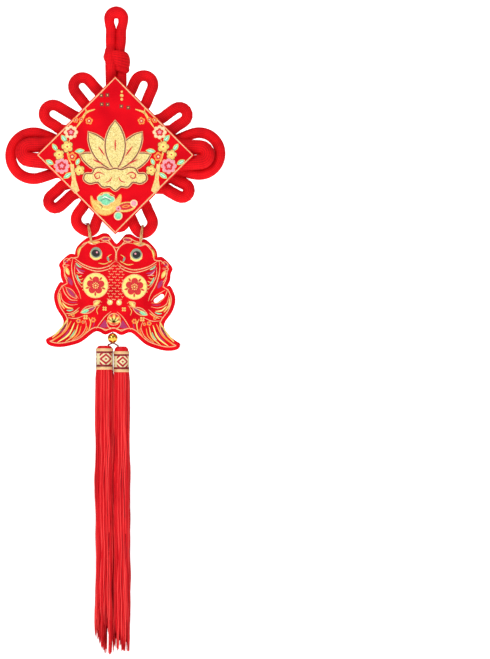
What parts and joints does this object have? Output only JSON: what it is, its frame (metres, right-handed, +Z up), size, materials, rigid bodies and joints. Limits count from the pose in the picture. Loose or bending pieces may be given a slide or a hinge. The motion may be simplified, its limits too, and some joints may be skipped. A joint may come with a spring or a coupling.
{
  "type": "chinese knot tassel",
  "caption": "Hanging ornament of thick red cord tied in an endless knot with side rings, a diamond plaque, a twin fish board, a gold bead and silky tassels.",
  "frame": {"origin": "underside of the hanging loop's crown, where a hook carries the ornament", "axes": "+Z up along the ornament, -Y towards the viewer of its decorated front, +X to that viewer's right"},
  "size_m": [0.1967, 0.0259, 0.5791],
  "materials": {
    "cord_red": "soft satin cord, matt velvety sheen",
    "board_red": "red flocked board with printed and glittered ornament",
    "gold_thread": "metallic gold thread",
    "gold_bead": "gold plated, polished",
    "dark_thread": "thin twisted thread",
    "tassel_red": "silky rayon strands",
    "band_gold": "woven metallic ribbon in gold and red"
  },
  "bodies": {
    "root": {"hanging_loop": "cord_red", "knot": "cord_red", "plaque": "board_red", "fish_board": "board_red", "tie_left": "gold_thread", "tie_right": "gold_thread", "bead": "gold_bead", "bead_thread": "dark_thread", "tassel_left": "tassel_red", "tassel_right": "tassel_red", "band_left": "band_gold", "band_right": "band_gold"}
  },
  "joints": []
}
